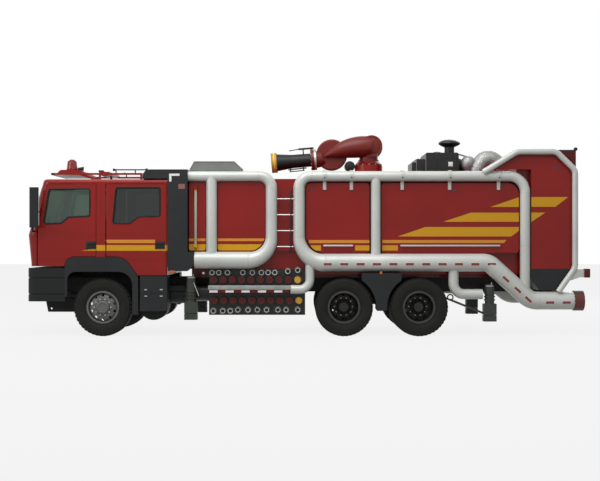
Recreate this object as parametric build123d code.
from build123d import *
import os
from math import atan2, cos, degrees, pi, sin

# An airport fire truck with a four-door cab, a pipe-framed body, a roof monitor and three axles.
# Millimetres. +X runs to the rear, +Y to the truck's right, +Z up; the ground is z = 0.
# The origin lies on the ground under the middle of the truck's length.

# Overall, along the length
front_overhang = 1400        # cab front to front axle
wheelbase = 4500             # front axle to first rear axle
bogie_spread = 1400          # first rear axle to second
rear_overhang = 3183         # second rear axle to the tips of the tail lamp brackets
half_width = 1250            # centre line to the outside of the lower pipes
length = front_overhang + wheelbase + bogie_spread + rear_overhang
front_axle_x = front_overhang - length / 2
rear_axles_x = (front_axle_x + wheelbase, front_axle_x + wheelbase + bogie_spread)

# Wheels and axles
tyre_radius = 540
tyre_width = 315
tyre_shoulder = 42
rim_radius = 286             # bead seat
rim_wall = 14
front_wheel_y = 1060         # middle of the front tyres
twin_wheel_y = 1082          # middle of the outer rear tyres
twin_spacing = 342
kingpin_y = 852
kingpin_radius = 28
spindle_radius = 45
fit = 1.0                    # play of a shaft in its hole, on the radius
touch = 0.3                  # play between curved faces that seat on one another

# Chassis
rail_y = 385                 # middle of each frame rail
rail_width = 80
rail_height = 270
rail_bottom = 800
rail_web = 12
spring_width = 80
spring_depth = 60
axle_radius = 78

# Cab
cab_length = 2609
cab_half_width = 1240
cab_wall = 50
cab_floor_z = 1308
floor_thickness = 50
waist_z = 1893
cab_roof_z = 2930
roof_line_z = 2846           # underside of the roof panel at the doors
door_gap = 9                 # shut line all round a door
rear_door_z = 1138           # bottom of the rear doors
cab_corner = 140

# Body
fairing_length = 366
cab_gap = 8
front_body_length = 2197
rear_body_length = 4215
tail_length = 775
deck_z = 2950                # roof walkway of the front body
rear_roof_z = 3050
pipe_y = 1085                # plane of the pipe loops
post_radius = 107            # upright pipes of the front loop and first upright of the rear
top_radius = 95
front_manifold_radius = 158
front_manifold_z = 1419
rear_manifold_radius = 168
rear_manifold_z = 1373
top_pipe_z = 2993
pipe_clearance = 12
core_half_width = 955        # body behind the pipes
panel_y = 1060               # faces of the fixed side panels

cab_rear = front_axle_x - front_overhang + cab_length
fairing_front = cab_rear + cab_gap
body_front = fairing_front + fairing_length
rear_bay_front = body_front + front_body_length
rear_bay_rear = rear_bay_front + rear_body_length
tail_rear = rear_bay_rear + tail_length


def at(distance):
    """Station a distance behind the front axle."""
    return front_axle_x + distance


def block(x0, x1, y0, y1, z0, z1):
    """A box between two corners."""
    size = Box(abs(x1 - x0), abs(y1 - y0), abs(z1 - z0))
    return Pos((x0 + x1) / 2, (y0 + y1) / 2, (z0 + z1) / 2) * size


def outline_of(points):
    """A face from its (x, z) corners; a third value is that corner's radius."""
    outline = make_face(Polyline(*[point[:2] for point in points], close=True))
    for x, z, *radius in points:
        if radius:
            outline = fillet(outline.vertices().sort_by_distance((x, z))[0], radius[0])
    return outline


def side_plate(points, inner, outer):
    """A left-hand plate from its outline, between two distances from the centre line."""
    return Pos(0, -inner, 0) * extrude(Plane.XZ * outline_of(points), outer - inner)


def centred_plate(points, half):
    """A plate from its outline, as wide as two halves about the centre line."""
    return side_plate(points, -half, half)


def rounded(points, radius):
    """The same corners, each with one radius."""
    return [(x, z, radius) for x, z in points]


def rounded_plate(x0, x1, z0, z1, radii, inner, outer):
    """A left-hand plate with a radius for each corner: low front, low rear, high rear, high front."""
    corners = ((x0, z0), (x1, z0), (x1, z1), (x0, z1))
    return side_plate([(x, z, radius) for (x, z), radius in zip(corners, radii)], inner, outer)


def cross_rod(x, z, y0, y1, radius):
    """A left-hand cylinder across the truck, from y = -y0 to y = -y1."""
    return Pos(x, -(y0 + y1) / 2, z) * Rot(90, 0, 0) * Cylinder(radius, abs(y1 - y0))


def long_rod(x0, x1, y, z, radius):
    """A cylinder along the truck."""
    return Pos((x0 + x1) / 2, y, z) * Rot(0, 90, 0) * Cylinder(radius, x1 - x0)


def upright(x, y, z0, z1, radius):
    """A standing cylinder."""
    return Pos(x, y, (z0 + z1) / 2) * Cylinder(radius, z1 - z0)


def turned(profile, x, z):
    """A body of revolution about a crosswise axis, from (radius, distance from the centre line) points."""
    outline = make_face(Polyline(*[(r, -y) for r, y in profile], close=True))
    return Pos(x, 0, z) * revolve(outline, Axis.Y)


def pipe(points, radius, bends):
    """A round bar along straight runs joined by bends."""
    path = FilletPolyline(*points, radius=bends) if bends else Polyline(*points)
    return sweep((path ^ 0) * Circle(radius), path)


def right(left):
    """The right-hand copy of a left-hand piece."""
    return mirror(left, about=Plane.XZ)


nodes = {}


def add(name, *solids):
    """Keeps one sub-part's solids under its name."""
    nodes[name] = [solid for piece in solids for solid in piece.solids()]


def pair(name, left):
    """A left-hand and a right-hand sub-part that move on their own."""
    add(name + "_left", left)
    add(name + "_right", right(left))


# Chassis: two channel rails joined by cross-members, with the hangers of the springs
front_spring_half = 780
front_spring_rise = 110
front_spring_y = 430
beam_top = 600               # spring seat of the front axle
rail_front = at(-1180)
rail_rear = at(8560)
crossmembers = (-1120, 1000, 2500, 3700, 5200, 6750, 8480)   # distances behind the front axle
crossmember_depth = 110
trunnion_seat = 672          # underside of the bogie spring at its middle


def rail():
    half = rail_width / 2
    top = rail_bottom + rail_height
    beam = block(rail_front, rail_rear, -rail_y - half, -rail_y + half, rail_bottom, top)
    inside = block(
        rail_front, rail_rear, -rail_y - half + rail_web, -rail_y + half,
        rail_bottom + rail_web, top - rail_web,
    )
    return beam - inside


def hanger(x0, x1, bottom):
    """A bracket below a rail that holds a spring's end."""
    outer = front_spring_y + spring_width / 2
    return block(x0, x1, -outer, -rail_y + rail_width / 2, bottom, rail_bottom + rail_web)


def leaf_spring(x, half_span, seat_z, rise, y, depth):
    """A spring stack curved from its seat at the middle up or down to its ends."""
    low = ThreePointArc((x - half_span, seat_z + rise), (x, seat_z), (x + half_span, seat_z + rise))
    high = Pos(0, depth) * low
    ends = [Line(low @ 0, high @ 0), Line(low @ 1, high @ 1)]
    stack = extrude(Plane.XZ * make_face([low, high, *ends]), spring_width)
    return Pos(0, -y + spring_width / 2, 0) * stack


frame = rail() + right(rail())
for distance in crossmembers:
    x = at(distance)
    reach = rail_y + rail_width / 2 - rail_web
    frame += block(x - crossmember_depth / 2, x + crossmember_depth / 2, -reach, reach,
                   rail_bottom + 30, rail_bottom + rail_height - 30)
hanger_length = 70
for side in (1, -1):
    end = at(0) + side * front_spring_half
    brackets = hanger(min(end, end + side * hanger_length), max(end, end + side * hanger_length),
                      beam_top + front_spring_rise - 20)
    frame += brackets + right(brackets)
bogie_x = sum(rear_axles_x) / 2
saddle = hanger(bogie_x - 110, bogie_x + 110, trunnion_seat + spring_depth * 1.5)
frame += saddle + right(saddle)
rear_bar_half = 1100
frame += block(rail_rear - 1, rail_rear + 60, -rear_bar_half, rear_bar_half,
               rail_bottom + 70, rail_bottom + 160)
add("chassis_frame", frame)

# Axles: the front beam with its kingpin eyes, the two driven rear tubes, and the springs they hang on
eye_radius = 58
eye_half = 58                # half the height of the kingpin eye
beam_half = 48
lug_gap = 7
rear_spring_y = 470
final_drive_radius = 205

axle_z = tyre_radius
beam = centred_plate(
    rounded([(at(0) - 55, axle_z - beam_half), (at(0) + 55, axle_z - beam_half),
             (at(0) + 55, beam_top), (at(0) - 55, beam_top)], 12), front_spring_y + spring_width / 2 + 30)
for sign in (1, -1):
    neck = block(at(0) - 38, at(0) + 38, 0, sign * (kingpin_y - 10), axle_z - beam_half, axle_z + beam_half)
    beam += neck + upright(at(0), sign * kingpin_y, axle_z - eye_half, axle_z + eye_half, eye_radius)
for sign in (1, -1):
    beam -= upright(at(0), sign * kingpin_y, axle_z - 200, axle_z + 200, kingpin_radius + fit)
front_springs = leaf_spring(at(0), front_spring_half, beam_top, front_spring_rise, front_spring_y,
                            spring_depth)
axle_pieces = [beam, front_springs, right(front_springs)]

hub_inner = 330              # wheel centre plane back to the inner end of the twin hub
axle_end_y = twin_wheel_y - hub_inner - 12
stub_y = twin_wheel_y - 82   # end of the stub inside the hub
for x in rear_axles_x:
    tube = Pos(x, 0, axle_z) * Rot(90, 0, 0) * Cylinder(axle_radius, 2 * axle_end_y)
    stubs = Pos(x, 0, axle_z) * Rot(90, 0, 0) * Cylinder(spindle_radius, 2 * stub_y)
    casing = Pos(x, 0, axle_z) * Sphere(final_drive_radius)
    nose = long_rod(x - 330, x, 0, axle_z + 40, 95)
    axle_pieces.append(tube + stubs + casing + nose)
bogie_half = bogie_spread / 2 + 60
bogie_drop = trunnion_seat - (axle_z + axle_radius + touch)
rear_springs = leaf_spring(bogie_x, bogie_half, trunnion_seat, -bogie_drop, rear_spring_y, spring_depth * 1.5)
axle_pieces += [rear_springs, right(rear_springs)]
for index, x in enumerate(rear_axles_x):
    pad = block(x - 55, x + 55, -rear_spring_y - 36, -rear_spring_y + 36, axle_z + axle_radius - 20,
                axle_z + axle_radius + 40) - rear_springs
    axle_pieces[3 + index] += pad + right(pad)
add("axles", *axle_pieces)

# The chassis engine under the cab and the gearbox behind it
engine_half = 300
engine = block(at(-560), at(560), -engine_half, engine_half, rail_bottom - 90, cab_floor_z - 60)
engine += block(at(560), at(940), -210, 210, rail_bottom - 20, cab_floor_z - 240)
mount_reach = rail_y + rail_width / 2 - rail_web
for distance in (-350, 350):
    engine += block(at(distance) - 50, at(distance) + 50, -mount_reach, mount_reach,
                    rail_bottom + 60, rail_bottom + 130)
add("engine_block", engine)

# Steering knuckles: a fork round the kingpin eye, its pin, and the wheel's spindle
plate_gap = 9
plate_thickness = 32
lug_height = 44
plate_inner = kingpin_y + eye_radius + plate_gap
lug_reach = plate_inner + plate_thickness
spindle_end = front_wheel_y + 100
knuckle = block(at(0) - 62, at(0) + 62, -lug_reach, -plate_inner,
                axle_z - eye_half - lug_gap - lug_height, axle_z + eye_half + lug_gap + lug_height)
for side in (1, -1):
    inner_face = axle_z + side * (eye_half + lug_gap)
    outer_face = inner_face + side * lug_height
    low, high = min(inner_face, outer_face), max(inner_face, outer_face)
    knuckle += upright(at(0), -kingpin_y, low, high, 52)
    knuckle += block(at(0) - 52, at(0) + 52, -plate_inner - 1, -kingpin_y, low, high)
knuckle += upright(at(0), -kingpin_y, axle_z - eye_half - lug_gap - 1, axle_z + eye_half + lug_gap + 1,
                   kingpin_radius)
knuckle += cross_rod(at(0), axle_z, lug_reach - 1, spindle_end, spindle_radius)
knuckle += cross_rod(at(0), axle_z, lug_reach - 1, front_wheel_y - 72, 78)
steering_arm = block(at(0), at(200), -plate_inner - 12, -plate_inner + 24,
                     axle_z - eye_half - lug_gap - lug_height, axle_z - eye_half - lug_gap - 12)
knuckle += steering_arm - upright(at(0), -kingpin_y, 0, 2 * axle_z, eye_radius + plate_gap)
pair("knuckle", knuckle)

# Wheels. Profiles are (radius, distance outwards from the tyre's middle plane).
bead_half = 118
lip_radius = 304
lip_gap = 7                  # tyre side wall to rim lip
lip_width = 10
barrel_half = bead_half + lip_gap + lip_width
hole_count = 10
hole_circle = 226
hole_radius = 25


def tyre(x, y):
    half = tyre_width / 2
    side = tyre_radius - tyre_shoulder
    shoulder = half - tyre_shoulder
    section = [
        (rim_radius, -bead_half), (rim_radius + 120, -half), (side, -half), (tyre_radius, -shoulder),
        (tyre_radius, shoulder), (side, half), (rim_radius + 120, half), (rim_radius, bead_half),
    ]
    return turned([(r, y + w) for r, w in section], x, axle_z)


def rim(x, y):
    """The barrel with its two lips."""
    lip = barrel_half - lip_width
    inner = rim_radius - rim_wall
    section = [
        (inner, -barrel_half), (lip_radius, -barrel_half), (lip_radius, -lip), (rim_radius, -lip),
        (rim_radius, lip), (lip_radius, lip), (lip_radius, barrel_half), (inner, barrel_half),
    ]
    return turned([(r, y + w) for r, w in section], x, axle_z)


def hand_holes(x, y0, y1):
    """Cutters for the ring of holes through a disc."""
    drills = []
    for index in range(hole_count):
        angle = 2 * pi * (index + 0.5) / hole_count
        drills.append(cross_rod(x + hole_circle * cos(angle), axle_z + hole_circle * sin(angle),
                                y0, y1, hole_radius))
    return drills


def front_wheel(x, y):
    inner = rim_radius - rim_wall + 2
    disc = turned([(r, y + w) for r, w in (
        (inner, 36), (inner, 52), (258, 92), (212, 114), (170, 124), (132, 124), (122, 160), (86, 174),
        (0, 174), (0, -60), (96, -60), (96, 60), (118, 106), (168, 110), (206, 100), (248, 80))], x, axle_z)
    for drill in hand_holes(x, y + 40, y + 160):
        disc -= drill
    bore = cross_rod(x, axle_z, y - 70, y + 106, spindle_radius + fit)
    return rim(x, y) + disc - bore


def twin_wheels(x, y):
    inner = rim_radius - rim_wall + 2
    middle = -twin_spacing / 2
    half_web = 14
    cone = [(inner, 92), (inner, 78), (236, 26), (214, half_web)]    # from the web out to a barrel
    outer_side = [(r, y + middle + w) for r, w in cone]
    inner_side = [(r, y + middle - w) for r, w in reversed(cone)]
    disc = turned([(0, y - hub_inner), (112, y - hub_inner), (112, y + middle - half_web),
                   (206, y + middle - half_web), *inner_side, *outer_side,
                   (142, y + middle + half_web), (142, y - 96), (104, y - 78), (96, y - 34), (0, y - 34)],
                  x, axle_z)
    for drill in hand_holes(x, y + middle - 120, y + middle + 120):
        disc -= drill
    bore = cross_rod(x, axle_z, y - hub_inner - 10, y - 74, spindle_radius + fit)
    return rim(x, y) + rim(x, y - twin_spacing) + disc - bore


pair("tyre_front", tyre(at(0), front_wheel_y))
pair("wheel_front", front_wheel(at(0), front_wheel_y))
for name, x in zip(("middle", "rear"), rear_axles_x):
    pair("tyres_" + name, tyre(x, twin_wheel_y) + tyre(x, twin_wheel_y - twin_spacing))
    pair("wheels_" + name, twin_wheels(x, twin_wheel_y))

# Cab: one hollow block, parted into floor, shell, roof and four doors
front_top = front_axle_x - 1110      # foot of the roof above the windscreen
front_bottom = front_axle_x - 1345
cab_front = front_axle_x - front_overhang
door_front_x = at(-1213)
door_split_x = (at(-121), at(65))    # the B-pillar
door_rear_x = at(1187)
arch_top = 1482
arch_front, arch_rear, arch_low = at(-696), at(666), 405
bumper_foot = 744                    # foot of the flare's front leg
arch_outer = [                       # outside of the front wheel's flare, with its corner radii
    (arch_front, bumper_foot), (arch_front, arch_top, 170), (at(400), arch_top, 300),
    (arch_rear, 1110, 120), (arch_rear, arch_low),
]
arch_inner = [                       # the opening inside it
    (at(560), arch_low), (at(560), 1205, 260), (at(-655), 1205, 150), (at(-655), bumper_foot),
]


def cab_block(inset):
    """The cab's outside, or a smaller one an even distance inside it."""
    outline = make_face(Polyline(
        (front_bottom, cab_floor_z), (cab_front, waist_z), (front_top, cab_roof_z), (cab_rear, cab_roof_z),
        (cab_rear, rear_door_z), (arch_rear, rear_door_z), (at(610), cab_floor_z), close=True))
    if inset:
        outline = offset(outline, -inset)
    half = cab_half_width - inset
    body = Pos(0, half, 0) * extrude(Plane.XZ * outline, 2 * half)
    corners = [edge for edge in body.edges() if edge.center().X < front_top and
               abs(abs(edge.center().Y) - half) < 1 and abs(edge.tangent_at(0.5).Z) > 0.5]
    body = fillet(corners, cab_corner - inset * 0.5)
    brow = [edge for edge in body.edges() if edge.center().Z > cab_roof_z - inset - 1 and
            abs(abs(edge.center().Y) - half) < 1 and abs(edge.tangent_at(0.5).X) > 0.5]
    return fillet(brow, 60 - inset * 0.5)


door_frame_z = 2190                  # above this the door stands back from its hinge line
front_door = [
    (door_front_x, cab_floor_z), (door_split_x[0], cab_floor_z), (door_split_x[0], roof_line_z - door_gap),
    (at(-1030), roof_line_z - door_gap), (at(-1158), door_frame_z), (door_front_x, door_frame_z),
]
rear_door = [
    (door_split_x[1], rear_door_z), (door_rear_x, rear_door_z), (door_rear_x, roof_line_z - door_gap),
    (door_split_x[1], roof_line_z - door_gap),
]
front_window = [
    (at(-990), 2742), (at(-231), 2751), (at(-231), 2239),
    (at(-629), 2221), (at(-772), 2106), (at(-1100), 2096),
]
rear_window = [
    (at(255), 2775), (at(1077), 2775), (at(1077), 2239),
    (at(671), 2228), (at(513), 2104), (at(190), 2104),
]
window_corner = 45
swage_lines = (1430, waist_z)        # grooves pressed along the cab's sides
swage_half, swage_depth = 5, 4
hinge_y = cab_half_width - cab_wall / 2
glass_thickness = 10
screen_half = 1075
screen_low, screen_high = 2035, 2800
grille_half = 760
grille_low, grille_high = 1365, 1800
grille_lean = degrees(atan2(front_bottom - cab_front, waist_z - cab_floor_z))
on_front = Pos(front_bottom, 0, cab_floor_z) * Rot(0, -grille_lean, 0) * Pos(0, 0, -cab_floor_z)
cab_inner_half = cab_half_width - cab_wall


def grown(points, margin, inner=cab_inner_half - 20):
    """The plate of an outline with a margin added all round, right through one cab wall."""
    return Pos(0, -inner, 0) * extrude(Plane.XZ * offset(outline_of(points), margin), cab_wall + 60)


def swages(x0, x1):
    """Cutters for the lines along one side of the cab."""
    return [block(x0, x1, -half_width - 1, -cab_half_width + swage_depth, z - swage_half, z + swage_half)
            for z in swage_lines]


wall = cab_block(0) - cab_block(cab_wall)
low_wall = cab_floor_z + floor_thickness
floor_half = cab_inner_half - touch
floor = block(front_bottom + 90, cab_rear - cab_wall, -floor_half, floor_half, cab_floor_z, low_wall)
shell = wall - block(front_bottom + 20, cab_rear - cab_wall, -cab_inner_half, cab_inner_half, 1000, low_wall)
roof_zone = block(cab_front, cab_rear + 10, -half_width, half_width, roof_line_z, cab_roof_z + 10)
cab_roof = shell & roof_zone
shell = shell - roof_zone
arch = side_plate([*arch_outer, (at(600), 300), (at(-600), 300)], cab_inner_half, half_width + 20)
shell = shell - arch - right(arch) - block(at(-600), at(640), -half_width, half_width, 1000, cab_floor_z)
arch_and_gap = grown([*arch_outer, (at(600), 300), (at(-600), 300)], door_gap)
for outline in (front_door, rear_door):
    cut = grown(outline, door_gap)
    shell = shell - cut - right(cut)
for cut in swages(cab_front - 50, cab_rear + 10):
    shell = shell - cut - right(cut)
relief = side_plate([(at(-1178), door_frame_z), (at(-1126), 2400), (at(-1110), 2400), (at(-1150), door_frame_z)],
                    cab_inner_half, half_width)      # room for the frame's foot when the door swings
shell = shell - relief - right(relief)
screen_zone = Pos(cab_front, 0, (screen_low + screen_high) / 2) * Rot(0, 90, 0) * extrude(
    RectangleRounded(screen_high - screen_low, 2 * screen_half, 60), 500)
shell = shell - screen_zone - on_front * block(-40, 32, -grille_half, grille_half, grille_low, grille_high)
add("cab_floor", floor)
add("cab_shell", shell)
add("cab_roof", cab_roof)
add("windscreen", (cab_block(18) - cab_block(18 + glass_thickness)) & screen_zone)

handle_length, handle_low, handle_high = 180, 1633, 1770
for name, outline, window in (("front", front_door, front_window), ("rear", rear_door, rear_window)):
    first_x, last_x = min(point[0] for point in outline), max(point[0] for point in outline)
    skin = side_plate(outline, cab_inner_half, cab_half_width) - arch_and_gap
    hinge_x = first_x + cab_wall / 2
    edge = skin & upright(hinge_x, -hinge_y, 0, cab_roof_z, cab_wall / 2)     # rounded about the hinge's axis
    door = skin - block(first_x - 1, hinge_x, -half_width, -cab_inner_half + 1, 0, cab_roof_z) + edge
    door -= side_plate(rounded(window, window_corner), cab_inner_half - 5, cab_half_width + 5)
    for cut in swages(first_x - 1, last_x + 1):
        door -= cut
    handle_rear = last_x - (0 if name == "front" else 23)
    door += rounded_plate(handle_rear - handle_length, handle_rear, handle_low, handle_high, (20, 20, 20, 20),
                          cab_half_width - 1, cab_half_width + 10)
    pair("door_" + name, door)

# Seats on boxes: two in front, a bench of three behind
seat_width = 480
seat_top = low_wall + 420
seats = []
for x, y, width, depth in (
    (at(-480), 560, seat_width, 500), (at(-480), -560, seat_width, 500), (at(820), 0, 1700, 480),
):
    base = block(x - depth / 2 + 40, x + depth / 2 - 40, y - width / 2 + 40, y + width / 2 - 40,
                 low_wall, seat_top - 110)
    cushion = block(x - depth / 2, x + depth / 2, y - width / 2, y + width / 2, seat_top - 110, seat_top)
    back = centred_plate(rounded([
        (x + depth / 2 - 90, seat_top - 20), (x + depth / 2 + 10, seat_top - 20),
        (x + depth / 2 + 100, seat_top + 700), (x + depth / 2 + 20, seat_top + 700)], 25), width / 2)
    seats.append(base + fillet(cushion.edges().filter_by(Axis.Y), 30) + Pos(0, y, 0) * back)
add("seats", *seats)

dash = centred_plate([(front_bottom + 70, low_wall), (front_bottom + 230, low_wall), (at(-980), 1820),
                      (at(-1010), 1960), (cab_front + 110, 2010), (cab_front + 70, waist_z)], 1120)
column = Pos(at(-950), -560, 1950) * Rot(0, 55, 0) * (Cylinder(24, 260) + Pos(0, 0, 150) * Cylinder(50, 40))
wheel_ring = Pos(at(-950), -560, 1950) * Rot(0, 55, 0) * Pos(0, 0, 150) * (
    Torus(215, 17) + Box(420, 44, 20) + Box(44, 420, 20))
add("dashboard", dash + column + wheel_ring)

# Front bumper, grille, flares, steps, mirrors and the gear on the cab roof
bumper_low, bumper_high = 653, 1274
bumper_rear = at(-696)
bumper_depth = 150
bumper_corner = 130
groove = 12                  # depth and half height of the bumper's two lines


def bumper_band(inset, z0, z1):
    """The bumper's outside in plan, or a smaller one inside it."""
    outline = make_face(Polyline(
        (cab_front + inset, half_width - inset), (bumper_rear, half_width - inset),
        (bumper_rear, -half_width + inset), (cab_front + inset, -half_width + inset), close=True))
    front_corners = outline.vertices().group_by(Axis.X)[0]
    return Pos(0, 0, z0) * extrude(fillet(front_corners, max(bumper_corner - inset, 20)), z1 - z0)


bumper = bumper_band(0, bumper_low, bumper_high)
bumper -= bumper_band(60, bumper_low - 10, bumper_high + 10)
bumper += block(cab_front + 30, cab_front + bumper_depth, -half_width + 100, half_width - 100,
                bumper_low, bumper_high)
for z in (789, 1094):
    bumper -= bumper_band(0, z - groove, z + groove) - bumper_band(groove, z - groove - 5, z + groove + 5)
lamp_half = 165
lamp_y = 930
lamp_z = 945
lamp_height = 170
lamp_pocket = block(cab_front - 10, cab_front + 60, -lamp_y - lamp_half, -lamp_y + lamp_half,
                    lamp_z - lamp_height / 2, lamp_z + lamp_height / 2)
bumper = bumper - lamp_pocket - right(lamp_pocket)
bracket_y = 385
tow_bracket = side_plate(rounded([
    (cab_front + 200, 405), (at(-560), 405), (at(-560), 560), (at(-760), 680),
    (cab_front + bumper_depth, 680), (cab_front + bumper_depth, 655)], 15), bracket_y - 30, bracket_y + 30)
stay = block(cab_front + bumper_depth, rail_front, -bracket_y - 30, -bracket_y + 30, 640, 1000)
front_end = bumper + tow_bracket + stay + right(tow_bracket + stay)
tow_pin_radius = 21
tow_x = cab_front + 260
tow_z = 470
for side in (1, -1):
    front_end -= cross_rod(tow_x, tow_z, side * bracket_y - 60, side * bracket_y + 60, tow_pin_radius)
add("front_bumper", front_end)

louvre_count = 6
grille = block(-8, 32, -grille_half, grille_half, grille_low, grille_high)
grille -= block(-20, 14, -grille_half + 45, grille_half - 45, grille_low + 40, grille_high - 40)
louvre_pitch = (grille_high - grille_low - 80) / louvre_count
for index in range(louvre_count):
    z = grille_low + 40 + louvre_pitch * (index + 0.5)
    grille += block(-4, 20, -grille_half + 40, grille_half - 40, z - 16, z + 16)
add("front_grille", on_front * grille)

flare = side_plate([*arch_outer, *arch_inner], cab_inner_half, half_width)
liner_thickness = 18
liner_inner = 905
liner = side_plate([(at(640) + liner_thickness, 700), (at(640), 700), (at(640), 1205, 170), (at(-655), 1205),
                    (at(-655), 1205 + liner_thickness),
                    (at(640) + liner_thickness, 1205 + liner_thickness, 190)],
                   liner_inner, cab_inner_half - touch)
# the guard between the rear wheels, its sides hollowed round the tyres
guard_gap = 62
guard_inner, guard_outer = 895, 1236
saddle_guard = side_plate([(bogie_x - 372, 1064), (bogie_x - 372, 1180),
                           (bogie_x + 372, 1180), (bogie_x + 372, 1064),
                           (bogie_x + 82, 476), (bogie_x - 82, 476)], guard_inner, guard_outer)
for x in rear_axles_x:
    saddle_guard -= cross_rod(x, axle_z, guard_inner - 20, guard_outer + 20, tyre_radius + guard_gap)
guards = [flare, liner, saddle_guard]
add("mudguards", *guards, *[right(guard) for guard in guards])

# The closed box below the rear door, with the silencer drum and an air tank behind it
step_front, step_rear = at(692), at(1209)
step_low, step_high = 472, 1127
step_inner = 860
rail_outside = rail_y + rail_width / 2
step_box = block(step_front, step_rear, -1235, -step_inner, step_low, step_high)
step_box = fillet(step_box.edges().filter_by(Axis.Z).sort_by(Axis.Y)[:2], 20)
step_box -= block(step_front + 25, step_rear - 25, -1236, -1229, 800, 812)     # line between its two lids
drum_x, drum_z, drum_radius = at(895), 560, 285
step_box += cross_rod(drum_x, drum_z, 480, 790, drum_radius)
air_tank_y, air_tank_radius = 690, 170
step_box += long_rod(at(1225), at(1500), -air_tank_y, 760, air_tank_radius)
step_box += block(drum_x, at(1500), -step_inner - 10, -rail_outside, 830, 930)     # bracket off the rail
add("step_boxes", step_box, right(step_box))

mirror_inner, mirror_outer = 1345, 1520
mirror_z = (2025, 2766)
mirror_plan = make_face(Polyline(
    (at(-1319), -mirror_inner), (at(-1175), -mirror_inner),
    (at(-1111), -mirror_outer), (at(-1290), -mirror_outer),
    close=True))
head = Pos(0, 0, mirror_z[0]) * extrude(mirror_plan, mirror_z[1] - mirror_z[0])
head = fillet(head.edges().filter_by(Axis.Z), 30)
mirror_arm_x, mirror_arm_radius = at(-1262), 16
for z in (1960, 2735):
    head += cross_rod(mirror_arm_x, z, cab_half_width - 35, mirror_inner + 60, mirror_arm_radius)
head += upright(mirror_arm_x, -mirror_inner - 60, 1960 - mirror_arm_radius, mirror_z[0] + 5, mirror_arm_radius)
mirrors = head - cab_block(0)
add("mirrors", mirrors, right(mirrors))

# Rack on the cab roof: side bars on feet, a platform with the beacon's base, a switch box, a rear bar
bar_z = (3045, 3082)
bar_y = (600, 640)
rack_front, rack_rear = at(-1088), at(655)
switch_box_x = (at(-179), at(13))
beacon_x, beacon_radius = at(-824), 112
beacon_seat = 3158
rack = block(rack_front, at(-380), -bar_y[0] - 1, bar_y[0] + 1, bar_z[0], bar_z[0] + 15)
rack += centred_plate([(at(-1060), bar_z[0] + 14), (at(-400), bar_z[0] + 14), (at(-600), beacon_seat, 60),
                       (at(-970), beacon_seat, 60)], 400)
rack += block(*switch_box_x, -bar_y[0] - 1, bar_y[0] + 1, bar_z[0], 3107)
rack += block(rack_rear - 40, rack_rear, -bar_y[0] - 1, bar_y[0] + 1, *bar_z)
for sign in (1, -1):
    rack += block(rack_front, rack_rear, sign * bar_y[0], sign * bar_y[1], *bar_z)
    for x in (switch_box_x[0], rack_rear - 40):
        rack += block(x, x + 40, sign * bar_y[0], sign * bar_y[1], cab_roof_z, bar_z[0] + 1)
brace = side_plate([(at(-560), bar_z[0] + 1), (at(-430), bar_z[0] + 1),
                    (at(-60), cab_roof_z), (at(-230), cab_roof_z)],
                   bar_y[0], bar_y[0] + 25)
add("roof_rack", rack + brace + right(brace))
beacon = upright(beacon_x, 0, beacon_seat, 3385, beacon_radius)
speaker = Pos(at(-655), 0, beacon_seat + 45) * Rot(0, 90, 0) * Cone(25, 45, 110)
speaker += block(at(-695), at(-665), -15, 15, beacon_seat, beacon_seat + 30)
rod_z, rod_y = 3144, bar_y[0] + 20
hand_rod = long_rod(at(109), at(744), -rod_y, rod_z, 12)
hand_rod += long_rod(at(90), at(135), -rod_y, rod_z, 24) + Pos(at(738), -rod_y, rod_z) * Sphere(27)
for distance in (150, 520):
    hand_rod += upright(at(distance), -rod_y, bar_z[1], rod_z, 10)
warning_gear = [beacon, speaker, hand_rod, right(hand_rod)]

# The dark fairing between the cab and the body
fairing_half = 1236
fairing_wall = 46
fairing = centred_plate([
    (fairing_front, 1216), (fairing_front, cab_roof_z + 10), (at(742), cab_roof_z + 10), (at(775), 3112, 120),
    (body_front, 3112), (body_front, 1577), (body_front + 123, 1577), (body_front + 123, 1340),
    (body_front, 1216)], fairing_half)
fairing -= block(fairing_front - 10, body_front + 200,
                 -fairing_half + fairing_wall, fairing_half - fairing_wall,
                 1000, cab_roof_z + 10 + 60)
add("fairing", fairing)

# Bodies behind the pipe frames
body_low = 1250
rear_body_low = 1150
sill_z = 1590                # where the front body widens above the lower pipe
bearer_top = rail_bottom + rail_height
front_post_x = body_front + 1560
front_mid_x = body_front + 438
rear_post_x = rear_bay_front - 119
rear_mid_x = at(5099)
tail_post_x = rear_bay_rear - top_radius
core_low_half = 895          # body behind the lower pipes
panel_top = top_pipe_z - top_radius - pipe_clearance
front_mid_radius, rear_mid_radius = 101, 90


def bearers(x0, x1, top):
    """The two timbers of the sub-frame between a body and the chassis rails."""
    half = rail_width / 2
    one = block(x0, x1, -rail_y - half, -rail_y + half, bearer_top, top)
    return one + right(one)


def pipe_seat(x, z, radius):
    """A left-hand saddle that carries an upright pipe off the body."""
    return block(x - 45, x + 45, -pipe_y + radius + touch, -core_half_width, z - 30, z + 30)


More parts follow.
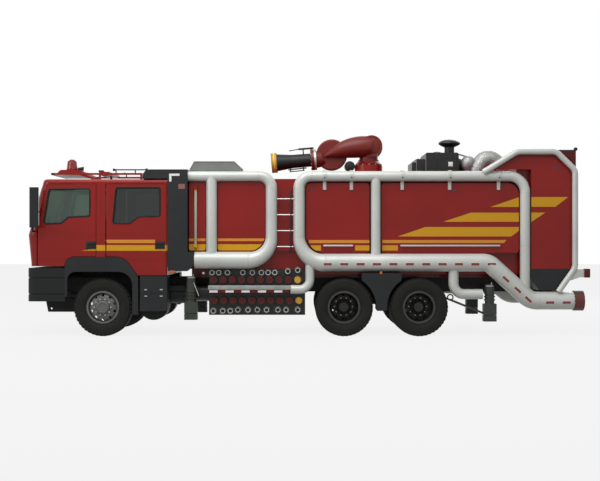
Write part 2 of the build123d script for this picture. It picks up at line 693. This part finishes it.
front_body = block(body_front, rear_bay_front, -core_half_width, core_half_width, sill_z, deck_z)
front_body += block(body_front, rear_bay_front, -core_low_half, core_low_half, body_low, sill_z)
front_body += bearers(body_front + 2, rear_bay_front, body_low)
fixed_panels = (              # x from, x to, then corner radii: low front, low rear, high rear, high front
    (body_front + 10, front_mid_x - front_mid_radius - pipe_clearance, (60, 60, 60, 60)),
    (front_mid_x + front_mid_radius + pipe_clearance, front_post_x - post_radius - pipe_clearance,
     (60, 310, 125, 60)),
)
for x0, x1, radii in fixed_panels:
    panel = rounded_plate(x0, x1, sill_z, panel_top, radii, core_half_width - 10, panel_y)
    front_body += panel + right(panel)
seat_heights = (2000, 2600)
for x, radius in ((front_post_x, post_radius), (front_mid_x, front_mid_radius), (rear_post_x, post_radius)):
    for z in seat_heights:
        front_body += pipe_seat(x, z, radius) + right(pipe_seat(x, z, radius))
gauge_x, gauge_radius = at(1723), 26
for sign in (1, -1):
    front_body += upright(gauge_x, sign * (panel_y + 40), 1668, 2794, gauge_radius)
    for z in (1690, 2770):
        front_body += block(gauge_x - 34, gauge_x + 34, sign * (panel_y - 5), sign * (panel_y + 72),
                            z - 30, z + 30)
add("front_body", front_body)

# The rear body is put together from a base, the tank, the lockers' floors and walls, and the roof
flap_low = rear_manifold_z + rear_manifold_radius + pipe_clearance + 2
flap_high = 2866
tank_half = 560
locker_floor = 40
locker_half = 930            # locker floor, behind the bend of the lower pipe
roof_thickness = 40
floor_low = flap_low - 8
locker_low, locker_high = floor_low + locker_floor, rear_roof_z - roof_thickness
rear_base = block(rear_bay_front, rear_bay_rear, -core_low_half, core_low_half, rear_body_low, floor_low)
rear_bearers = bearers(rear_bay_front, rear_bay_rear, rear_body_low - touch)
tank = block(rear_bay_front, rear_bay_rear, -tank_half, tank_half, floor_low + touch, locker_high - touch)
rear_roof = block(rear_bay_front, rear_bay_rear, -core_half_width, core_half_width, locker_high, rear_roof_z)
lockers = [block(rear_bay_front, rear_bay_rear, -locker_half, -tank_half - touch,
                 floor_low + touch, locker_low)]
lockers.append(block(rear_bay_front, rear_bay_rear, -core_half_width, -core_half_width + 20,
                     flap_high + 20, locker_high - touch))
for x0, x1, half, post_x, radius in (
    (rear_bay_front, rear_bay_front + 40, locker_half, None, 0),
    (rear_mid_x - 60, rear_mid_x + 60, core_half_width - 20 - touch, rear_mid_x, rear_mid_radius),
    (rear_bay_rear - 190, rear_bay_rear, core_half_width - 20 - touch, tail_post_x, top_radius),
):
    lockers.append(block(x0, x1, -half, -tank_half - touch, locker_low + touch, locker_high - touch))
    if post_x:
        for z in seat_heights:
            lockers.append(block(post_x - 45, post_x + 45, -pipe_y + radius + touch, -half - touch,
                                 z - 30, z + 30))
add("rear_body", rear_base, rear_bearers, tank, rear_roof, *lockers, *[right(piece) for piece in lockers])

# Flap doors, hung by eyes round the upper pipe
flap_inner, flap_outer = 966, 1056
strap_width = 60
eye_outer = 112
eye_play = 0.9
handle_z = 1690
handle_y = flap_outer + 52
flaps = (                     # name, x from, x to, corner radii as above, hinge stations, handle from, to
    ("fore", rear_bay_front + 16, rear_mid_x - rear_mid_radius - 26, (346, 60, 60, 82),
     (at(4140), at(4643)), at(4118), at(4670)),
    ("aft", rear_mid_x + rear_mid_radius + 16, tail_post_x - top_radius - 16, (60, 60, 205, 60),
     (at(5595), at(6486), at(7403)), at(5561), at(7425)),
)
for name, x0, x1, radii, hinges, grip0, grip1 in flaps:
    flap = rounded_plate(x0, x1, flap_low, flap_high, radii, flap_inner, flap_outer)
    for x in hinges:
        flap += block(x - strap_width / 2, x + strap_width / 2, -pipe_y, -flap_outer + 6, 2738, 2900)
        flap += block(x - strap_width / 2, x + strap_width / 2, -flap_outer, -flap_inner - 30,
                      flap_high - 5, 2900)
        flap += Pos(x, -pipe_y, top_pipe_z) * Rot(0, 90, 0) * Cylinder(eye_outer, strap_width)
        flap += cross_rod(x, handle_z, flap_outer - 5, handle_y, 15)
    for x in hinges:
        flap -= Pos(x, -pipe_y, top_pipe_z) * Rot(0, 90, 0) * Cylinder(top_radius + eye_play, strap_width + 2)
    flap += long_rod(grip0, grip1, -handle_y, handle_z, 17)
    pair("flap_" + name, flap)

# Pipe frames
corner_bend = 225
manifold_bend = 430
rear_manifold_bend = 480
tail_bend = 305


def tapered_bend(x, z, radius, turn, start_size, end_size):
    """A quarter bend about (x, z) that grows from one bore to another; turn is its start and end angle."""
    angles = [radians_of(turn[0] + (turn[1] - turn[0]) * share) for share in (0, 0.5, 1)]
    points = [(x + radius * cos(a), -pipe_y, z + radius * sin(a)) for a in angles]
    path = ThreePointArc(*points)
    sizes = (start_size, (start_size + end_size) / 2, end_size)
    sections = [((path ^ share) * Circle(size)).face() for share, size in zip((0, 0.5, 1), sizes)]
    return sweep(sections, path, multisection=True)


def radians_of(angle):
    return angle * pi / 180


def loop(*points):
    """Points of a run in the plane of the pipes."""
    return [(x, -pipe_y, z) for x, z in points]


def run(start, end, radius):
    """A straight run of pipe between two (x, z) points."""
    path = Line(*loop(start, end))
    return sweep((path ^ 0) * Circle(radius), path)


front_loop = run((body_front + touch, top_pipe_z), (front_post_x - corner_bend, top_pipe_z), top_radius)
front_loop += tapered_bend(front_post_x - corner_bend, top_pipe_z - corner_bend, corner_bend, (90, 0),
                           top_radius, post_radius)
front_loop += run((front_post_x, top_pipe_z - corner_bend), (front_post_x, front_manifold_z + manifold_bend),
                  post_radius)
front_loop += tapered_bend(front_post_x - manifold_bend, front_manifold_z + manifold_bend, manifold_bend,
                           (0, -90), post_radius, front_manifold_radius)
front_loop += run((front_post_x - manifold_bend, front_manifold_z), (body_front + 125, front_manifold_z),
                  front_manifold_radius)
front_loop += run((front_mid_x, top_pipe_z), (front_mid_x, front_manifold_z), front_mid_radius)

outlet_z = 660
slope_top_x, slope_foot_x = at(7213), at(8000)
clamp_x = (at(8798), at(8978))
clamp_radius = 187
inlet_radius = 110
inlet_depth = 160
rear_loop = tapered_bend(rear_post_x + corner_bend, top_pipe_z - corner_bend, corner_bend, (180, 90),
                         post_radius, top_radius)
rear_loop += run((rear_post_x, top_pipe_z - corner_bend), (rear_post_x, rear_manifold_z + rear_manifold_bend),
                 post_radius)
rear_loop += tapered_bend(rear_post_x + rear_manifold_bend, rear_manifold_z + rear_manifold_bend,
                          rear_manifold_bend, (180, 270), post_radius, rear_manifold_radius)
rear_loop += pipe(loop((rear_post_x + corner_bend, top_pipe_z), (tail_post_x, top_pipe_z), (tail_post_x, 870)),
                  top_radius, tail_bend)
rear_loop += run((rear_mid_x, top_pipe_z), (rear_mid_x, rear_manifold_z), rear_mid_radius)
rear_loop += pipe(loop((rear_post_x + rear_manifold_bend, rear_manifold_z), (slope_top_x, rear_manifold_z),
                       (slope_foot_x, outlet_z), (clamp_x[1], outlet_z)), rear_manifold_radius, (260, 300))
rear_loop += long_rod(*clamp_x, -pipe_y, outlet_z, clamp_radius)
rear_loop -= long_rod(clamp_x[1] - inlet_depth, clamp_x[1] + 5, -pipe_y, outlet_z, inlet_radius)
front_branch_x, front_branch_z, front_branch_radius = at(3863), 867, 84
rear_branch_x, rear_branch_z, rear_branch_radius = at(6558), 781, 95
rear_loop += pipe(loop((front_branch_x, rear_manifold_z + 90), (front_branch_x, front_branch_z),
                       (at(3502), front_branch_z)), front_branch_radius, 190)
rear_loop += pipe(loop((rear_branch_x, rear_manifold_z), (rear_branch_x, rear_branch_z),
                       (at(7098), rear_branch_z)), rear_branch_radius, 200)
tail_pipe_radius = 55
tail_pipe_y = 1190
tail_path = [(at(7101), 3061), (at(7734), 3446), (at(8459), 3446), (at(8813), 3099), (at(8813), 1276),
             (at(8500), 830)]
rear_loop += pipe([(x, -tail_pipe_y, z) for x, z in tail_path], tail_pipe_radius, (220, 180, 180, 260))
lamp_bracket_end = at(8975)
rear_loop += side_plate([(at(8660), 1050), (at(8745), 1047), (at(8890), 1100, 150), (lamp_bracket_end, 1100),
                         (lamp_bracket_end, 1250), (at(8813), 1250)], tail_pipe_y - 22, tail_pipe_y + 22)
joint_x = at(7000)                   # joint across the rear loop, ahead of the tail's own pipe
branch_end = at(7150)                # behind the end of the rear branch pipe


def aft_zone(play):
    """The space behind the joint, without the rear branch pipe."""
    zone = block(joint_x - play, at(9100), -pipe_y - 300, 0, 1000, tail_path[1][1] + 200)
    return zone + block(branch_end - play, at(9100), -pipe_y - 300, 0, 0, 1001)


fore_part, aft_part = rear_loop - aft_zone(touch), rear_loop & aft_zone(0)
loops = [front_loop, fore_part, aft_part]
add("pipe_frames", *loops, *[right(part) for part in loops])

# Coupling banks under the front body: a box a side with four rows of capped outlets
bank_front, bank_rear = at(1964), rear_bay_front - 4
bank_low = 385
bank_inner, bank_face = 445, 985
ring_radius, ring_bore, cap_radius = 61, 34, 73


def spaced(first, last, count):
    """Evenly spaced distances behind the front axle."""
    return [first + (last - first) * index / (count - 1) for index in range(count)]


coupling_rows = (             # distances behind the front axle, height, radius, reach, bore
    ((1954, 2153, 2315, 2604, 2783, 2952, 3079, 3204), 1183, ring_radius, 62, ring_bore),
    ((3449,), 1208, ring_radius, 62, ring_bore),
    ((3637,), 1228, ring_radius, 62, ring_bore),
    (spaced(2060, 3634, 10), 1048, cap_radius, 78, 0),
    (spaced(2070, 3657, 10), 660, cap_radius, 78, 0),
    ((2048, 2225, 2368), 462, ring_radius, 62, ring_bore),
    ((2510, 2700, 2876, 3050, 3264, 3417, 3638), 482, ring_radius, 62, ring_bore),
)
bore_depth = 50
step_low, step_high = 870, 947
step_outer = 1185
bank = block(bank_front, bank_rear, -bank_face, -bank_inner, bank_low, body_low)
for stations, z, radius, reach, bore in coupling_rows:
    for station in stations:
        x = max(at(station), bank_front + radius)
        bank += cross_rod(x, z, bank_face - 5, bank_face + reach, radius)
        if bore:
            bank -= cross_rod(x, z, bank_face + reach - bore_depth, bank_face + reach + 1, bore)
bank += block(bank_front, at(3500), -step_outer, -bank_face + 5, step_low, step_high)
bank += long_rod(at(1700), bank_front + 10, -air_tank_y, 800, air_tank_radius)     # air tank on its front end
add("coupling_banks", bank, right(bank))

# Ladders in the recess between the two pipe frames
stile_radius, rung_radius = 14, 12
stile_x = rear_post_x - post_radius - 45
ladder_z = (1560, 2760)
rung_heights = [1671 + index * 299 for index in range(4)]
ladder = upright(stile_x, -pipe_y, *ladder_z, stile_radius)
for z in rung_heights:
    ladder += long_rod(front_post_x + post_radius + touch, rear_post_x - post_radius - touch, -pipe_y, z,
                       rung_radius)
add("ladders", ladder, right(ladder))

# Stabiliser jacks: a fixed sleeve under the frame and a foot that comes down out of it
sleeve_radius, rod_radius, rod_play = 88, 62, 0.3
jack_block = 85               # half width of the guide block below the sleeve
foot_thickness, foot_leg, foot_gap = 45, 70, 10
jacks = (                     # name, x, foot of the sleeve, top, foot's lowest point, half length of its block
    ("fore", at(1633), 640, 1083, 303, 120),
    ("aft", at(7237), 600, 924, 270, 120),
)
jack_y = 1060
sleeve_pieces = []
for name, x, low, high, foot_low, half in jacks:
    plate_low = foot_low + foot_leg
    guide_low = plate_low + foot_thickness + foot_gap
    sleeve = upright(x, -jack_y, low - 1, high, sleeve_radius)
    for z in (low + 60, low + 120, low + 180):
        sleeve += upright(x, -jack_y, z, z + 26, sleeve_radius + 16)
    sleeve += block(x - half, x + half, -jack_y - jack_block, -jack_y + jack_block, guide_low, low)
    sleeve += block(x - 60, x + 60, -jack_y + sleeve_radius - 20, -rail_outside, high - 130, high - 20)
    sleeve -= upright(x, -jack_y, guide_low - 5, high - 40, rod_radius + rod_play)
    if name == "aft":         # stay from the guide block forward to its eye
        stay_foot, stay_head = (x - half + 10, guide_low + 25), (at(6500), 675)
        sleeve += pipe([(px, -jack_y, pz) for px, pz in (stay_foot, stay_head)], 20, None)
        sleeve += Pos(stay_head[0], -jack_y, stay_head[1] + 45) * Rot(90, 0, 0) * Torus(52, 13)
    sleeve_pieces += [sleeve, right(sleeve)]
    foot = upright(x, -jack_y, plate_low + 5, high - 60, rod_radius)
    foot += block(x - half, x + half, -jack_y - jack_block, -jack_y + jack_block, plate_low,
                  plate_low + foot_thickness)
    for side in (1, -1):
        foot += block(x - half, x + half, -jack_y + side * 35, -jack_y + side * jack_block, foot_low,
                      plate_low + 5)
    pair("jack_" + name, foot)
add("jack_sleeves", *sleeve_pieces)

# Roof sign boards on the upper pipes of the front frame
sign_thickness = 30
sign_z = (top_pipe_z + top_radius + touch, 3272)
sign = side_plate(rounded([(at(1592), sign_z[0]), (at(2641), sign_z[0]), (at(2450), sign_z[1]),
                           (at(1694), sign_z[1])], 20),
                  pipe_y - sign_thickness / 2, pipe_y + sign_thickness / 2)
add("roof_signs", sign, right(sign))

# Roof monitor: base, turret with its curved arm, and barrel
monitor_x = at(5033)
base_top, base_radius = 3273, 272
plinth_top = 3120
motor_x, motor_radius = at(4658), 100
monitor_base = upright(monitor_x, 0, rear_roof_z, base_top, base_radius)
monitor_base += block(motor_x - 120, monitor_x + 300, -300, 300, rear_roof_z, plinth_top)
monitor_base += Pos(motor_x, 0, 3246) * Rot(90, 0, 0) * Cylinder(motor_radius, 2 * motor_radius)
monitor_base += block(motor_x - 60, motor_x + 60, -motor_radius, motor_radius, plinth_top - 1, 3246)
add("monitor_base", monitor_base)

volute_x, volute_z = at(4306), 3477
volute_radius = 306
joint_y = -72                 # face between the arm and the volute that turns beside it
volute_far = 170
pedestal_radius, flare_top = 183, 3370
heel_x, heel_z, heel_radius = at(5080), 3636, 225
heel_near, heel_far = -215, 150
arm_y = -105
arm_sizes = (196, 186, 22)    # radius at the heel, half way and at the nose
nose_x, nose_z = at(4160), 3440
nose_reach = 195              # room the barrel's neck leaves round the arm's nose
turret = upright(monitor_x, 0, base_top + touch, flare_top + 1, pedestal_radius + 20)
turret += Pos(monitor_x, 0, flare_top - 40) * Cone(base_radius - 10, pedestal_radius, 80)
turret += upright(monitor_x, 0, flare_top - 1, heel_z, pedestal_radius)
turret += cross_rod(heel_x, heel_z, -heel_far, -heel_near, heel_radius - 14)
turret += cross_rod(heel_x, heel_z, -heel_far, -heel_far + 26, heel_radius + 12)
arm_path = ThreePointArc((heel_x, arm_y, heel_z - 4), (at(4646), arm_y, 3598), (nose_x, arm_y, nose_z))
arm_sections = [((arm_path ^ share) * Circle(size)).face() for share, size in zip((0, 0.5, 1), arm_sizes)]
arm = sweep(arm_sections, arm_path, multisection=True)
turret += arm - cross_rod(volute_x, volute_z, -400, -joint_y + touch, volute_radius + 16)
turret += cross_rod(volute_x, volute_z, -joint_y + touch, -joint_y + 20, 90)
turret -= cross_rod(volute_x, volute_z, -joint_y - 1, -joint_y + 15, 60 + fit)
add("monitor_turret", turret)

neck_x, muzzle_x = at(3996), at(3116)
neck_z, muzzle_z = 3385, 3314
barrel_pitch = degrees(atan2(neck_z - muzzle_z, neck_x - muzzle_x))
barrel_length = (neck_x - muzzle_x) / cos(barrel_pitch * pi / 180)
flange_radius, mouth_radius = 206, 196
barrel_profile = (            # distance ahead of the neck flange's rear face, radius
    (-300, 0), (-300, 60), (-110, 150), (0, 170), (0, flange_radius), (100, flange_radius), (100, 130),
    (480, 134), (barrel_length - 110, 168), (barrel_length - 110, mouth_radius), (barrel_length, mouth_radius),
    (barrel_length, 152), (barrel_length - 200, 120), (barrel_length - 200, 0),
)
gun = revolve(make_face(Polyline(*[(radius, along) for along, radius in barrel_profile], close=True)), Axis.Y)
gun = Pos(neck_x, 0, neck_z) * Rot(0, -90 - barrel_pitch, 0) * Rot(90, 0, 0) * gun
gun -= cross_rod(volute_x, volute_z, -joint_y, 400, nose_reach)
volute = cross_rod(volute_x, volute_z, -volute_far, -joint_y, volute_radius)
volute = fillet(volute.edges().filter_by(GeomType.CIRCLE), 30)
pivot_pin = cross_rod(volute_x, volute_z, -joint_y - 5, -joint_y + 14, 60)
add("monitor_barrel", gun + volute + pivot_pin)

# Pump engine's gear on the roof: air cleaner, caps and the lagged exhaust elbow
cleaner_x = (at(6109), at(6754))
cleaner_top = 3489
cleaner_half = 430
pack = block(*cleaner_x, -cleaner_half, cleaner_half, rear_roof_z, cleaner_top)
pack = fillet(pack.edges().filter_by(Axis.Y).sort_by(Axis.Z)[-2:], 40)
for x0, top, half in ((at(5930), 3365, 400), (at(5849), 3300, 380)):     # stepped, ribbed front
    pack += block(x0, cleaner_x[0] + 1, -half, half, rear_roof_z, top)
cap_x, cap_y, low_cap_x, low_cap_y = at(6605), -180, at(6412), 120
pack += upright(cap_x, cap_y, cleaner_top - 1, 3640, 96)
cap_profile = [(0, 3615), (96, 3615), (213, 3688), (200, 3712), (120, 3750), (0, 3758)]
pack += Pos(cap_x, cap_y, 0) * revolve(Plane.XZ * make_face(Polyline(*cap_profile, close=True)), Axis.Z)
low_cap_profile = [(0, cleaner_top - 1), (138, cleaner_top - 1), (138, 3512), (70, 3545), (0, 3550)]
low_cap_face = Plane.XZ * make_face(Polyline(*low_cap_profile, close=True))
pack += Pos(low_cap_x, low_cap_y, 0) * revolve(low_cap_face, Axis.Z)
intake_radius = 150
pack += pipe([(at(6740), -cap_y, 3280), (at(6965), -cap_y, 3280), (at(6965), -cap_y, rear_roof_z)],
             intake_radius, 180)
add("roof_engine_pack", pack)

# The lagged exhaust rises from the roof and turns over to the rear
exhaust_y = -330
exhaust_radius = 165
exhaust = pipe([(at(7133), exhaust_y, rear_roof_z - 100), (at(7133), exhaust_y, 3200),
                (at(7385), exhaust_y, 3530), (at(7540), exhaust_y, 3200)], exhaust_radius, (200, 170))
exhaust -= block(at(6800), at(7900), -1000, 400, 2500, rear_roof_z)
add("exhaust_elbow", exhaust)

# Tail module: a tall red house over a dark skirt
tail_half = tail_pipe_y - tail_pipe_radius - touch
tail_top = 3400
tail_shelf = top_pipe_z + eye_outer + pipe_clearance   # where the house overhangs the upper pipe
tail_front = rear_bay_rear + 10
tail_slope = ((at(7223), tail_shelf), (at(7690), tail_top))    # edge under the sloping frame pipe
skirt_z = 1261
chamfer_top, chamfer_foot = (at(8465), tail_top), (tail_rear, 3095)
tail = centred_plate([(tail_front, skirt_z), (tail_rear, skirt_z), chamfer_foot, chamfer_top,
                      (tail_front, tail_top)], tail_half)
hood_front = at(7760)         # the exhaust stands before it, between two cheeks
hood_rear = tail_front - touch
hood = block(hood_front, hood_rear, -tail_half, tail_half, tail_shelf, tail_top)
hood += block(hood_front, rear_bay_rear, -core_half_width, core_half_width, rear_roof_z, tail_shelf + 1)
cheek = side_plate([tail_slope[0], (hood_front + 1, tail_shelf), (hood_front + 1, tail_top), tail_slope[1]],
                   tail_half - 55, tail_half)
hood += cheek + right(cheek)
tail_link = block(rear_bay_rear + 0.5, tail_front + 1, -core_half_width, core_half_width, skirt_z, tail_shelf)
shutter_half, shutter_z = 600, (1330, 2700)
slat_pitch, slat_depth = 100, 10
shutter = block(tail_rear - 1, tail_rear + 22, -shutter_half, shutter_half, *shutter_z)
for z in range(shutter_z[0] + 50, shutter_z[1] - 60, slat_pitch):
    shutter += block(tail_rear + 20, tail_rear + 22 + slat_depth, -shutter_half + 40, shutter_half - 40,
                     z, z + 70)
add("tail_house", tail + tail_link + shutter, hood)

skirt_low = 857
skirt = centred_plate([(rear_bay_rear + 2, 1060), (at(8150), skirt_low), (at(8490), skirt_low),
                       (tail_rear, skirt_z), (rear_bay_rear + 2, skirt_z)], tail_half)
skirt -= block(rear_bay_rear - 10, rail_rear + 80, -rail_outside - 4, rail_outside + 4, 800, bearer_top)
skirt -= block(rail_rear - 20, rail_rear + 80, -rear_bar_half - 10, rear_bar_half + 10,
               rail_bottom, rail_bottom + 180)
add("tail_skirt", skirt)

# Lamps: headlamps in the bumper, tail lamps on their brackets, marker lamps
lens = block(cab_front + 8, cab_front + 60, -lamp_y - lamp_half, -lamp_y + lamp_half,
             lamp_z - lamp_height / 2, lamp_z + lamp_height / 2)
lamps = [lens, right(lens)]
tail_lamp_y = (1112, half_width)
tail_lamp = block(lamp_bracket_end + touch, at(9083), -tail_lamp_y[1], -tail_lamp_y[0], 1094, 1262)
tail_lamp = fillet(tail_lamp.edges().filter_by(Axis.X), 18)
corner_lamp = side_plate([(chamfer_top[0] + 1, tail_top), (chamfer_top[0] + 1, 3483), (at(8842), 3483, 20),
                          (at(8842), 3145), (tail_rear + 1, chamfer_foot[1])], 780, tail_half - 10)
corner_lamp += Pos(at(8848), -1080, 3502) * Sphere(37)
lamps += [tail_lamp, right(tail_lamp), corner_lamp, right(corner_lamp)]
add("lamps", *lamps, *warning_gear)

os.makedirs("parts", exist_ok=True)
for name, solids in nodes.items():
    export_step(Compound(children=solids), "parts/" + name + ".step")
